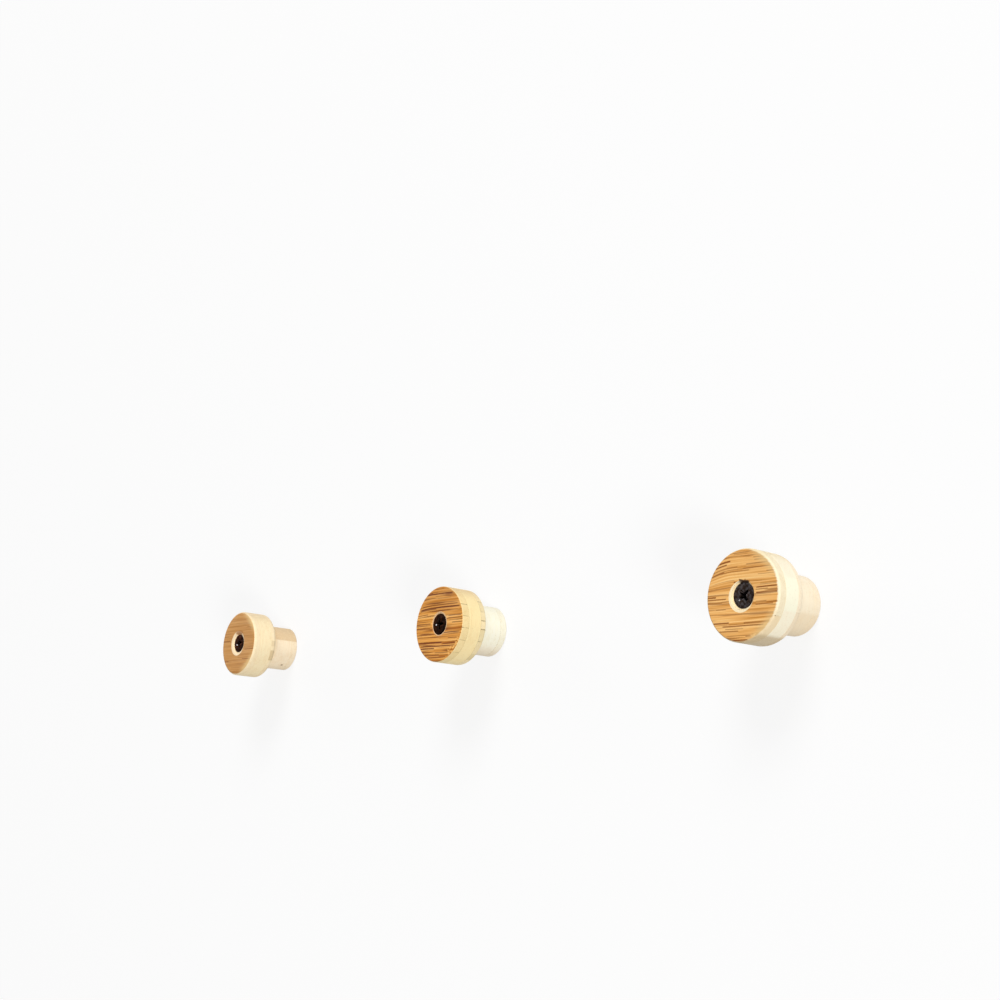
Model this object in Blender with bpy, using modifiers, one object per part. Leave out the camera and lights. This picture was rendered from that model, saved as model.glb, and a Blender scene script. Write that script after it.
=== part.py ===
"""Wall rack for skis: three round bamboo pegs in a level row, each held by one screw in a wall plug.

Each peg is a wide head on a narrower stem. Both are laminated from three crossed plies. The wall is
the plane Y = 0, the room is towards -Y, and the origin lies on the middle peg's axis. All sizes are
in metres.
"""

import math

import bmesh
import bpy

# The row of pegs
PEG_SPACING = 0.156

# The head's plies, from the face towards the wall
HEAD_DIAMETER = 0.030
HEAD_FRONT_PLY = 0.0033
HEAD_CORE_PLY = 0.0060
HEAD_BACK_PLY = 0.0027

# The stem's plies, from the head towards the wall
STEM_DIAMETER = 0.020
STEM_FRONT_PLY = 0.0030
STEM_CORE_PLY = 0.0085
STEM_BACK_PLY = 0.0030

# Finish of the wood
FACE_EDGE_RADIUS = 0.0006
BACK_EDGE_RADIUS = 0.0012
WALL_EDGE_RADIUS = 0.0003
GLUE_LINE = 0.0001

# Shallow relief in the foot, so that the plug's mouth doesn't hold the foot off the wall
FOOT_RELIEF_DEPTH = 0.0003

# Countersunk wood screw with a cross recess
SCREW_LENGTH = 0.070
SCREW_HEAD_DIAMETER = 0.0083
SCREW_HEAD_RIM = 0.00035
THREAD_DIAMETER = 0.0045
THREAD_HEIGHT = 0.00075
SHANK_BELOW_CREST = 0.0006
THREAD_PITCH = 0.0022
THREAD_LENGTH = 0.042
TIP_LENGTH = 0.0055
THREAD_FLANK_TOP = 0.72
THREAD_CREST_AT = 0.42
RECESS_SPAN = 0.0046
RECESS_SLOT = 0.0011
RECESS_DEPTH = 0.0024
RECESS_FLOOR_SPAN = 0.0019
RECESS_FLOOR_SLOT = 0.0008
RECESS_CORE_DIAMETER = 0.0022
RECESS_CORE_DEPTH = 0.0027

# How far each screw's head lies below the face, and the turn that its recess was left at
SCREW_SUNK = {"left": 0.0005, "middle": 0.0002, "right": 0.0007}
RECESS_TURN = {"left": 15.0, "middle": 4.0, "right": 40.0}

# Clearances, each measured on one side
FOOT_RELIEF_CLEARANCE = 0.0005
SEAT_GAP = 0.0003
COUNTERBORE_CLEARANCE = 0.00055
SHANK_HOLE_CLEARANCE = 0.00025
PLUG_BORE_CLEARANCE = 0.0003

# Nylon wall plug
PLUG_DIAMETER = 0.0080
PLUG_LENGTH = 0.040
PLUG_RECESS = 0.0003
PLUG_NOSE = 0.0040
PLUG_NOSE_TAPER = 0.0010
PLUG_BARBS = 5
BARB_DEPTH = 0.0005
BARB_SLOPE = 0.85
SLOT_WIDTH = 0.0010
SLOT_FROM_MOUTH = 0.0080
SLOT_FROM_NOSE = 0.0050
FIN_THICKNESS = 0.0010
FIN_HEIGHT = 0.0009
FIN_FROM_MOUTH = 0.0015
FIN_LENGTH = 0.0120

# Steps round each turned shape
WOOD_STEPS = 40
DRILL_STEPS = 24
SCREW_STEPS = 24
THREAD_STEPS = 12
PLUG_STEPS = 20
RECESS_CORE_STEPS = 8
EDGE_STEPS = 2
SMOOTH_BELOW = math.radians(32.0)

# Worked out from the sizes above
STEM_LENGTH = STEM_FRONT_PLY + STEM_CORE_PLY + STEM_BACK_PLY
HEAD_LENGTH = HEAD_FRONT_PLY + HEAD_CORE_PLY + HEAD_BACK_PLY
PEG_LENGTH = STEM_LENGTH + HEAD_LENGTH
SHANK_RADIUS = THREAD_DIAMETER / 2.0 - SHANK_BELOW_CREST
THREAD_ROOT = THREAD_DIAMETER / 2.0 - THREAD_HEIGHT
CONE_HEIGHT = SCREW_HEAD_DIAMETER / 2.0 - SHANK_RADIUS
HEAD_HEIGHT = SCREW_HEAD_RIM + CONE_HEIGHT
MERGE = 0.00001
OVERRUN = 0.001

PEGS = {"left": -PEG_SPACING, "middle": 0.0, "right": PEG_SPACING}

# Colours are linear red, green and blue
FACE_BAMBOO = {"colour": (0.62, 0.33, 0.11), "roughness": 0.55}
EDGE_BAMBOO = {"colour": (0.83, 0.64, 0.36), "roughness": 0.60}
STEM_BAMBOO = {"colour": (0.88, 0.72, 0.50), "roughness": 0.60}
BLACK_SCREW = {"colour": (0.012, 0.011, 0.013), "roughness": 0.38, "metallic": 0.6}
GREY_NYLON = {"colour": (0.42, 0.43, 0.44), "roughness": 0.50}


def clear_objects():
    """Remove the objects that the file opened with."""
    for obj in list(bpy.data.objects):
        bpy.data.objects.remove(obj, do_unlink=True)


def new_collection(name):
    """Make a collection in the scene."""
    collection = bpy.data.collections.new(name)
    bpy.context.scene.collection.children.link(collection)
    return collection


def finish(obj, colour, roughness, metallic=0.0):
    """Give an object its own Principled material."""
    material = bpy.data.materials.new(obj.name + "_finish")
    material.use_nodes = True
    shader = material.node_tree.nodes["Principled BSDF"]
    shader.inputs["Base Color"].default_value = (*colour, 1.0)
    shader.inputs["Roughness"].default_value = roughness
    shader.inputs["Metallic"].default_value = metallic
    obj.data.materials.append(material)


def add_object(name, mesh, collection, parent):
    """Put a mesh in the scene under a parent."""
    obj = bpy.data.objects.new(name, mesh)
    collection.objects.link(obj)
    obj.parent = parent
    return obj


def apply_modifiers(obj):
    """Bake an object's modifiers into its mesh."""
    bpy.context.view_layer.update()
    evaluated = obj.evaluated_get(bpy.context.evaluated_depsgraph_get())
    mesh = bpy.data.meshes.new_from_object(evaluated)
    obj.modifiers.clear()
    obj.data = mesh


def turned(name, outline, steps, collection, parent, closed=False):
    """Turn an outline of (radius, height) points about Z. A closed outline makes a ring."""
    mesh = bpy.data.meshes.new(name)
    edges = [(i, i + 1) for i in range(len(outline) - 1)]
    if closed:
        edges.append((len(outline) - 1, 0))
    mesh.from_pydata([(radius, 0.0, height) for radius, height in outline], edges, [])
    obj = add_object(name, mesh, collection, parent)
    screw = obj.modifiers.new("Turn", "SCREW")
    screw.steps = steps
    screw.render_steps = steps
    screw.use_merge_vertices = True
    screw.merge_threshold = MERGE
    apply_modifiers(obj)
    return obj


def smooth_round_faces(obj):
    """Shade the round faces smooth and keep the corners sharp."""
    obj.data.shade_smooth()
    obj.data.set_sharp_from_angle(angle=SMOOTH_BELOW)


def boolean(obj, tool, operation):
    """Cut or join with another object, and keep the result in the mesh."""
    modifier = obj.modifiers.new("Boolean", "BOOLEAN")
    modifier.operation = operation
    modifier.object = tool
    modifier.solver = "EXACT"
    apply_modifiers(obj)


def as_cutter(obj):
    """Mark an object as a tool that isn't part of the model."""
    obj.hide_render = True
    obj.display_type = "WIRE"


def corner(radius, height, rounding, upper):
    """Points round an outer corner, from top to bottom: the upper corner of a disc, or the lower one."""
    if rounding <= 0.0:
        return [(radius, height)]
    side = 1.0 if upper else -1.0
    centre_height = height - side * rounding
    points = []
    for step in range(EDGE_STEPS + 1):
        turn = step / EDGE_STEPS if upper else 1.0 - step / EDGE_STEPS
        angle = math.radians(90.0 * (1.0 - turn))
        points.append((
            radius - rounding + rounding * math.cos(angle),
            centre_height + side * rounding * math.sin(angle),
        ))
    return points


def disc_outline(radius, low, high, top_rounding, bottom_rounding):
    """Outline of a solid disc: out over the top, down the side and back under."""
    points = [(0.0, high)]
    points += corner(radius, high, top_rounding, True)
    points += corner(radius, low, bottom_rounding, False)
    points.append((0.0, low))
    return points


def drill_outline(sunk):
    """Outline of the stepped drill: counterbore, screw seat, shank hole and the relief in the foot."""
    head_top = PEG_LENGTH - sunk
    hole_radius = THREAD_DIAMETER / 2.0 + SHANK_HOLE_CLEARANCE
    seat_radius = SCREW_HEAD_DIAMETER / 2.0 + SEAT_GAP
    counterbore_radius = SCREW_HEAD_DIAMETER / 2.0 + COUNTERBORE_CLEARANCE
    cone_end = head_top - HEAD_HEIGHT - SEAT_GAP * math.sqrt(2.0)
    seat_top = cone_end + seat_radius - SHANK_RADIUS
    seat_bottom = cone_end + hole_radius - SHANK_RADIUS
    relief_radius = PLUG_DIAMETER / 2.0 + FIN_HEIGHT + FOOT_RELIEF_CLEARANCE
    return [
        (0.0, PEG_LENGTH + OVERRUN),
        (counterbore_radius, PEG_LENGTH + OVERRUN),
        (counterbore_radius, seat_top),
        (seat_radius, seat_top),
        (hole_radius, seat_bottom),
        (hole_radius, FOOT_RELIEF_DEPTH),
        (relief_radius, FOOT_RELIEF_DEPTH),
        (relief_radius, -OVERRUN),
        (0.0, -OVERRUN),
    ]


def ply_table():
    """Each ply from the face to the wall: its name, the disc's sizes and its finish."""
    head = HEAD_DIAMETER / 2.0
    stem = STEM_DIAMETER / 2.0
    rows = [
        ("head_front_ply", head, HEAD_FRONT_PLY, FACE_EDGE_RADIUS, 0.0, FACE_BAMBOO),
        ("head_core_ply", head, HEAD_CORE_PLY, 0.0, 0.0, EDGE_BAMBOO),
        ("head_back_ply", head, HEAD_BACK_PLY, 0.0, BACK_EDGE_RADIUS, EDGE_BAMBOO),
        ("stem_front_ply", stem, STEM_FRONT_PLY, 0.0, 0.0, STEM_BAMBOO),
        ("stem_core_ply", stem, STEM_CORE_PLY, 0.0, 0.0, STEM_BAMBOO),
        ("stem_back_ply", stem, STEM_BACK_PLY, 0.0, WALL_EDGE_RADIUS, STEM_BAMBOO),
    ]
    plies = []
    top = PEG_LENGTH
    for name, radius, thickness, top_rounding, bottom_rounding, look in rows:
        low = top - thickness
        glue = 0.0 if name == "stem_back_ply" else GLUE_LINE
        disc = (radius, low + glue, top, top_rounding, bottom_rounding)
        plies.append((name, disc, look))
        top = low
    return plies


def make_wood(peg, axis, parts, tools):
    """Turn the six plies of one peg and drill them with one stepped drill."""
    drill = turned(peg + "_drill", drill_outline(SCREW_SUNK[peg]), DRILL_STEPS, tools, axis)
    as_cutter(drill)
    for name, disc, look in ply_table():
        ply = turned(peg + "_" + name, disc_outline(*disc), WOOD_STEPS, parts, axis)
        boolean(ply, drill, "DIFFERENCE")
        smooth_round_faces(ply)
        finish(ply, **look)


def screw_outline(head_top):
    """Outline of the screw's head and plain shank, closed inside the thread."""
    head_radius = SCREW_HEAD_DIAMETER / 2.0
    shank_end = head_top - SCREW_LENGTH + THREAD_LENGTH
    return [
        (0.0, head_top),
        (head_radius, head_top),
        (head_radius, head_top - SCREW_HEAD_RIM),
        (SHANK_RADIUS, head_top - HEAD_HEIGHT),
        (SHANK_RADIUS, shank_end),
        (0.0, shank_end),
    ]


def thread_scale(height, radius, start, tip):
    """Radius of a thread point: it fades in from the root at the start and tapers to the tip."""
    fade = min(max((start - height) / THREAD_PITCH, 0.0), 1.0)
    faded = THREAD_ROOT + (radius - THREAD_ROOT) * fade
    taper = min(max((height - tip) / TIP_LENGTH, 0.0), 1.0)
    return faded * taper


def make_thread(name, head_top, collection, parent):
    """Sweep one pitch of thread into a helix, then close it with a run-out and a point."""
    crest = THREAD_DIAMETER / 2.0
    tip = head_top - SCREW_LENGTH
    start = tip + THREAD_LENGTH
    turns = int(THREAD_LENGTH / THREAD_PITCH)
    first = start + THREAD_PITCH - turns * THREAD_PITCH
    outline = [
        (THREAD_ROOT, 1.0),
        (THREAD_ROOT, THREAD_FLANK_TOP),
        (crest, THREAD_CREST_AT),
        (THREAD_ROOT, 0.0),
    ]
    mesh = bpy.data.meshes.new(name)
    mesh.from_pydata(
        [(radius, 0.0, first + (share - 1.0) * THREAD_PITCH) for radius, share in outline],
        [(i, i + 1) for i in range(len(outline) - 1)],
        [],
    )
    thread = add_object(name, mesh, collection, parent)
    helix = thread.modifiers.new("Helix", "SCREW")
    helix.steps = THREAD_STEPS
    helix.render_steps = THREAD_STEPS
    helix.screw_offset = THREAD_PITCH
    helix.iterations = turns
    helix.merge_threshold = MERGE
    apply_modifiers(thread)

    work = bmesh.new()
    work.from_mesh(thread.data)
    bmesh.ops.remove_doubles(work, verts=work.verts, dist=MERGE)
    for vert in work.verts:
        radius = math.hypot(vert.co.x, vert.co.y)
        ratio = thread_scale(vert.co.z, radius, start, tip) / radius
        vert.co.x *= ratio
        vert.co.y *= ratio
    rims = [edge for edge in work.edges if edge.is_boundary]
    caps = bmesh.ops.holes_fill(work, edges=rims, sides=0)["faces"]
    hubs = bmesh.ops.poke(work, faces=caps)["verts"]
    for hub in hubs:
        hub.co = (0.0, 0.0, tip if hub.co.z < (start + tip) / 2.0 else start + THREAD_PITCH / 2.0)
    bmesh.ops.recalc_face_normals(work, faces=work.faces)
    work.to_mesh(thread.data)
    work.free()
    return thread


def make_recess_wing(name, head_top, turn, collection, parent):
    """One bar of the cross recess: a box that narrows towards its floor."""
    work = bmesh.new()
    bmesh.ops.create_cube(work, size=1.0)
    for vert in work.verts:
        upper = vert.co.z > 0.0
        vert.co.x *= RECESS_SPAN if upper else RECESS_FLOOR_SPAN
        vert.co.y *= RECESS_SLOT if upper else RECESS_FLOOR_SLOT
        vert.co.z = head_top + SEAT_GAP if upper else head_top - RECESS_DEPTH
    mesh = bpy.data.meshes.new(name)
    work.to_mesh(mesh)
    work.free()
    wing = add_object(name, mesh, collection, parent)
    wing.rotation_euler.z = math.radians(turn)
    return wing


def make_screw(peg, axis, parts, tools):
    """One screw: turned head and shank, helical thread and cross recess."""
    head_top = PEG_LENGTH - SCREW_SUNK[peg]
    screw = turned(peg + "_screw", screw_outline(head_top), SCREW_STEPS, parts, axis)
    thread = make_thread(peg + "_thread", head_top, tools, axis)
    as_cutter(thread)
    boolean(screw, thread, "UNION")
    core_outline = [
        (0.0, head_top + OVERRUN),
        (RECESS_CORE_DIAMETER / 2.0, head_top + OVERRUN),
        (RECESS_CORE_DIAMETER / 2.0, head_top - RECESS_CORE_DEPTH / 2.0),
        (0.0, head_top - RECESS_CORE_DEPTH),
    ]
    core = turned(peg + "_recess_core", core_outline, RECESS_CORE_STEPS, tools, axis)
    cutters = [core]
    for index in range(2):
        turn = RECESS_TURN[peg] + 90.0 * index
        cutters.append(make_recess_wing(f"{peg}_recess_wing_{index}", head_top, turn, tools, axis))
    for cutter in cutters:
        as_cutter(cutter)
        boolean(screw, cutter, "DIFFERENCE")
    smooth_round_faces(screw)
    finish(screw, **BLACK_SCREW)


def plug_outline():
    """Outline of the plug: a barbed outside that tapers to the nose, and a plain bore."""
    radius = PLUG_DIAMETER / 2.0
    bore = THREAD_DIAMETER / 2.0 + PLUG_BORE_CLEARANCE
    mouth = -PLUG_RECESS
    nose = mouth - PLUG_LENGTH
    barbs_from = mouth - SLOT_FROM_MOUTH
    barbs_to = nose + PLUG_NOSE
    pitch = (barbs_from - barbs_to) / PLUG_BARBS
    points = [(bore, mouth), (radius, mouth)]
    for index in range(PLUG_BARBS):
        top = barbs_from - index * pitch
        points.append((radius, top))
        points.append((radius - BARB_DEPTH, top - BARB_SLOPE * pitch))
    points.append((radius, barbs_to))
    points.append((max(radius - PLUG_NOSE_TAPER, (radius + bore) / 2.0), nose))
    points.append((bore, nose))
    return points


def make_box(name, size, centre, collection, parent):
    """A box of a given size and centre, in its parent's axes."""
    work = bmesh.new()
    bmesh.ops.create_cube(work, size=1.0)
    bmesh.ops.scale(work, vec=size, verts=work.verts)
    bmesh.ops.translate(work, vec=centre, verts=work.verts)
    mesh = bpy.data.meshes.new(name)
    work.to_mesh(mesh)
    work.free()
    return add_object(name, mesh, collection, parent)


def make_plug(peg, axis, parts, tools):
    """One plug: barbed tube, two side fins against turning and a slot that lets it spread."""
    radius = PLUG_DIAMETER / 2.0
    bore = THREAD_DIAMETER / 2.0 + PLUG_BORE_CLEARANCE
    mouth = -PLUG_RECESS
    plug = turned(peg + "_wall_plug", plug_outline(), PLUG_STEPS, parts, axis, closed=True)

    fin_root = (bore + radius) / 2.0
    fin_width = radius + FIN_HEIGHT - fin_root
    for side in (-1.0, 1.0):
        fin = make_box(
            f"{peg}_fin_{'low' if side < 0.0 else 'high'}",
            (fin_width, FIN_THICKNESS, FIN_LENGTH),
            (side * (fin_root + fin_width / 2.0), 0.0, mouth - FIN_FROM_MOUTH - FIN_LENGTH / 2.0),
            tools,
            axis,
        )
        as_cutter(fin)
        boolean(plug, fin, "UNION")

    slot_top = mouth - SLOT_FROM_MOUTH
    slot_bottom = mouth - PLUG_LENGTH + SLOT_FROM_NOSE
    slot = make_box(
        peg + "_slot",
        (SLOT_WIDTH, PLUG_DIAMETER + 2.0 * OVERRUN, slot_top - slot_bottom),
        (0.0, 0.0, (slot_top + slot_bottom) / 2.0),
        tools,
        axis,
    )
    as_cutter(slot)
    boolean(plug, slot, "DIFFERENCE")
    smooth_round_faces(plug)
    finish(plug, **GREY_NYLON)


def make_axis(peg, offset, collection):
    """An empty on the peg's axis at the wall. Its +Z points out of the wall, into the room."""
    axis = bpy.data.objects.new(peg + "_axis", None)
    axis.location = (offset, 0.0, 0.0)
    axis.rotation_euler = (math.pi / 2.0, 0.0, 0.0)
    collection.objects.link(axis)
    return axis


def main():
    clear_objects()
    parts = new_collection("ski_wall_rack")
    tools = new_collection("cutters")
    for peg, offset in PEGS.items():
        axis = make_axis(peg, offset, parts)
        make_wood(peg, axis, parts, tools)
        make_screw(peg, axis, parts, tools)
        make_plug(peg, axis, parts, tools)


main()
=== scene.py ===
"""Looks of the wall rack for skis: three laminated bamboo pegs, their black screws and their wall plugs.

The wall is the plane Y = 0, the room is towards -Y, and the origin lies on the middle peg's axis.
Lengths are in metres, apart from the shader coordinates and the grain lines, which are in millimetres.
"""

import math

import bmesh
import bpy
from mathutils import Matrix, Vector, noise


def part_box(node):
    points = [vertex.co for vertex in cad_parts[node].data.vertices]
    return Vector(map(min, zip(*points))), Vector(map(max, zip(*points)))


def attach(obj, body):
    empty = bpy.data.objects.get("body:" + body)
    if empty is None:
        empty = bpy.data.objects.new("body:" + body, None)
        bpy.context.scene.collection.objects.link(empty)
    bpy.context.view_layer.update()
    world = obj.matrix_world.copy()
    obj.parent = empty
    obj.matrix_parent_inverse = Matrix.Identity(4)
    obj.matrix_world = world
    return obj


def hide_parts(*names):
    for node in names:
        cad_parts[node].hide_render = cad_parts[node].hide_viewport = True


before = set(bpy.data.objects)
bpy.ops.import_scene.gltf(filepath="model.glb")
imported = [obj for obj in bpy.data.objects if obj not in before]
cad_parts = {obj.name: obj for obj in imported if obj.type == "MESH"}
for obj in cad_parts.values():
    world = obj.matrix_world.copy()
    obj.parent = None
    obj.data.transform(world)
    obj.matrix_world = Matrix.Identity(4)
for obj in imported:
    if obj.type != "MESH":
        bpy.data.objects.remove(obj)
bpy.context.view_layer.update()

MILLIMETRES = 1000.0

# The camera, as it stood for the photograph
CAMERA_PLACE = (0.46305, -0.37765, -0.07012)
CAMERA_YAW = math.radians(50.74)
CAMERA_PITCH = math.radians(11.8)
CAMERA_ROLL = math.radians(3.29)
CAMERA_LENS = 53.3
CAMERA_SENSOR = 36.0

# Light. A level is the share of a surface's own colour that a source adds where it falls square on
WORLD_LEVEL = 0.39
LAMP_DISTANCE = 4.0
# Lamps: name, level, where the light comes from, and size
LAMPS = (
    ("key", 0.55, (0.3, -0.55, 0.78), 1.8),
    ("side", 0.57, (0.82, -0.38, -0.36), 1.1),
    ("fill", 0.2, (-0.9, -0.25, 0.35), 2.2),
    ("back", 0.22, (-0.4, 1.0, 0.4), 2.6),
)

# The stage
WALL_PLACE = 0.0002
WALL_HALF_WIDTH = 1.6
WALL_TOP = 1.1
FLOOR_HEIGHT = -0.75
FLOOR_HALF_WIDTH = 2.4
STAGE_WHITE = (0.92, 0.92, 0.92)
STAGE_GLOW = 0.8

# Holes in the wood. The radii match the drill that made them
COUNTERBORE_RADIUS = 0.0047
HOLE_RADIUS = 0.0025
SCREW_GAP = 0.0001
LEDGE_BELOW_HEAD = 0.0001
RELIEF_RADIUS = 0.0054
RELIEF_DEPTH = 0.0003

# Plies: their edges, how uneven a rim is and in what waves, and how wide torn fibres are, in degrees, and how
# deep, in shares of the worn edge
WALL_EDGE = 0.0003
GLUED_EDGE = 0.00004
SUPPORT = 0.00006
GLUE_INSET = 0.00006
PLY_STEPS = 160
EDGE_STEPS = 6
HOLE_EDGE_STEPS = 4
UNEVEN = 0.00005
WAVES_ROUND = 3.0
WAVES_ALONG = 90.0
FRAY_WIDTH = 3.4
FRAY_DEPTH = 0.95

# Cross recess: its four bars, how much of their width stays at the floor, and their blunt ends
RECESS_SPAN = 0.0046
RECESS_SLOT = 0.0011
RECESS_SLOT_KEPT = 0.35
BAR_END = 0.55
BAR_CHAMFER = 0.45
RECESS_FILLET = 0.0005
FILLET_STEPS = 4
RECESS_DEPTH = 0.0024
RECESS_FLOOR_SCALE = 0.46
RECESS_TIP = 0.0003
CUT_ABOVE_HEAD = 0.0005

# Screw
SCREW_RIM = 0.00035
SHANK_RADIUS = 0.00165
THREAD_ROOT = 0.0015
THREAD_CREST = 0.00225
THREAD_PITCH = 0.0022
THREAD_LENGTH = 0.042
SHANK_IN_THREAD = 0.0005
TIP_LENGTH = 0.0055
SCREW_STEPS = 96
THREAD_STEPS = 32

# One turn of the thread: radius, and place along the pitch
THREAD_SHAPE = (
    (THREAD_ROOT, 0.0), (THREAD_ROOT, 0.28), (THREAD_CREST, 0.53), (THREAD_CREST, 0.6), (THREAD_ROOT, 1.0),
)

# Wall plug
PLUG_RADIUS = 0.004
PLUG_BORE = 0.00255
PLUG_NOSE = 0.004
PLUG_NOSE_TAPER = 0.001
PLUG_BARBS = 5
BARB_DEPTH = 0.0005
BARB_SLOPE = 0.85
SLOT_WIDTH = 0.001
SLOT_FROM_MOUTH = 0.008
SLOT_FROM_NOSE = 0.005
SLOT_REACH = PLUG_RADIUS * 1.2
FIN_THICKNESS = 0.001
FIN_FROM_MOUTH = 0.0015
FIN_LENGTH = 0.012
PLUG_STEPS = 72

MERGE = 0.000005

# How far fibres and bold lines bend, in millimetres, and how slowly along and across them
FIBRE_BEND = 0.42
BEND_SCALES = (1.0, 0.12, 0.16)
LINE_BEND = 0.28
LINE_BEND_ACROSS = 0.3
BEND_ALONG = 0.055

# Noises drawn out along the fibres: offset of the seed, stretch, scale and detail
PALE_FINE = (0.0, 0.07, 2.8, 3.0)
PALE_BROAD = (3.0, 0.05, 0.6, 2.0)
PALE_SPECKS = (9.0, 0.25, 3.6, 1.0)
FACE_FINE = (0.0, 0.022, 1.9, 1.5)
FACE_BROAD = (3.0, 0.022, 0.5, 1.0)
FACE_SHORT = (8.0, 0.07, 0.9, 1.0)
FACE_CONTOUR = (6.0, 0.011, 0.8, 1.0)
LINE_WEIGHT = (5.0, 0.1, 0.8, 1.0)

# How far each of them spreads the tones, and the place of the middle tone between 0 and 1
PALE_SPREADS = (1.5, 1.3)
FACE_SPREADS = (2.2, 1.3, 0.4)
MIDDLE_TONE = 0.52

# Smooth steps: from, to, value before and value after
BAND_BREAKS = (0.3, 0.6, 0.7, 1.0)
TICK_BREAKS = (0.36, 0.5, 0.3, 1.0)
SPECK_STEP = (0.68, 0.78, 0.0, 0.3)
LINE_BREAKS = (0.3, 0.5, 0.68, 1.0)
THIN_LINE = (0.02, 0.075, 1.0, 0.0)
THIN_BREAKS = (0.44, 0.58, 0.0, 1.0)
FADE_SIDE = (1.0, 8.0, 0.0, 1.0)
FADE_HEIGHT = (3.0, 9.5, 0.0, 1.0)
FLAT_STEP = (0.72, 0.94, 0.0, 1.0)
RIM_ROUGHNESS = (0.2, 0.8, 0.64, 0.52)
FACE_ROUGHNESS = (0.2, 0.8, 0.6, 0.46)
SCREW_ROUGHNESS = (0.3, 0.7, 0.3, 0.44)
PLUG_ROUGHNESS = (0.3, 0.7, 0.52, 0.4)

# Steps by place: from and to. Those of lines, ticks and ellipses are shares of their size
DIP_FROM = -4.0
DIP_HEIGHT = (0.0, 8.0)
FADE_REACH = (11.2, 14.4)
BARE_SIDE = (-4.0, 7.0)
LINE_EDGE = (0.28, 0.74)
HIGHLIGHT_EDGE = (0.15, 0.8)
TICK_EDGE = (0.15, 0.7)
ELLIPSE_EDGE = (0.35, 1.15)

# Shares: where a bold line starts to end, how far below it the painted highlight runs, the core of a spot,
# how strongly the painted highlight and chips show, and how much rim colour the bare ring takes
LINE_END = 0.86
HIGHLIGHT_BELOW = 1.25
SPOT_CORE = 0.4
HIGHLIGHT_SHARE = 0.45
CHIP_SHARE = 0.85
BORE_SHARE = 0.35

# How ragged noise makes edges: of a spot, the fade, the flat face, its rim, the bare ring and the chips
SPOT_RAGGED = 0.8
FADE_RAGGED = 2.0
FLAT_RAGGED = 0.22
RIM_RAGGED = 0.7
BORE_RAGGED = 0.8
CHIP_RAGGED = 5.5

# Places in millimetres: the soft ends of bands and of the bare ring, the part near the hole that counts as
# flat, and where the amber ends before and past the head's radius
BAND_SOFTNESS = 0.2
RING_SOFTNESS = 0.2
NEAR_HOLE = (6.0, 6.2)
AMBER_ENDS = (-0.35, 0.25)

# Relief: its depth in metres, and the shares of fibres, marks and rim in it
WOOD_RELIEF = 0.00003
PALE_SHARE = 0.6
FIBRE_SHARE = 0.7
MARK_SHARE = 0.9
RIM_SHARE = 0.5

# Specular levels: wood is oiled on the face and sanded elsewhere
FACE_SPECULAR = 0.12
RIM_SPECULAR = 0.2
SCREW_SPECULAR = 0.25

WHITE = (1.0, 1.0, 1.0, 1.0)

# Red, green and blue of a pale ply's light and dark tones, as shares of the spread up and down, and their top
TONE_UP = (0.4, 0.6, 0.8)
TONE_DOWN = (1.2, 1.8, 2.5)
TONE_TOP = (252, 248, 236)

PEGS = ("left", "middle", "right")
RECESS_TURN = {"left": 15.0, "middle": 4.0, "right": 40.0}


def srgb(red, green, blue):
    """A colour written in screen values from 0 to 255, as the linear values that shaders take."""
    linear = []
    for value in (red, green, blue):
        share = value / 255.0
        linear.append(share / 12.92 if share <= 0.04045 else ((share + 0.055) / 1.055) ** 2.4)
    return (*linear, 1.0)


def wood(red, green, blue, spread, bands=(), ticks=(), spots=()):
    """Look of one pale ply: its mean colour, how far its tones spread, and what marks it.

    A band is (from, to, colour, strength) and a tick (place, thickness, darkness), both across the fibres.
    A spot is (x, y, z, radius, darkness). All places are in millimetres from the peg's axis and the wall.
    """
    mean = (red, green, blue)
    light = (min(value + spread * up, top) for value, up, top in zip(mean, TONE_UP, TONE_TOP))
    dark = (value - spread * down for value, down in zip(mean, TONE_DOWN))
    return {
        "light": srgb(*light),
        "middle": srgb(*mean),
        "dark": srgb(*dark),
        "bands": bands,
        "ticks": ticks,
        "spots": spots,
    }


# Rounding of each peg's edges: round the face, behind the head and round the hole
EDGES = {
    "left": {"face": 0.0013, "back": 0.0015, "hole": 0.001},
    "middle": {"face": 0.0003, "back": 0.0008, "hole": 0.0001},
    "right": {"face": 0.0007, "back": 0.0014, "hole": 0.0003},
}

# Painted shade on the hole's upper wall, with dark torn fibres there on the right peg
SHADE_AND_TEAR_BROWN = srgb(62, 42, 30)

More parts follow.
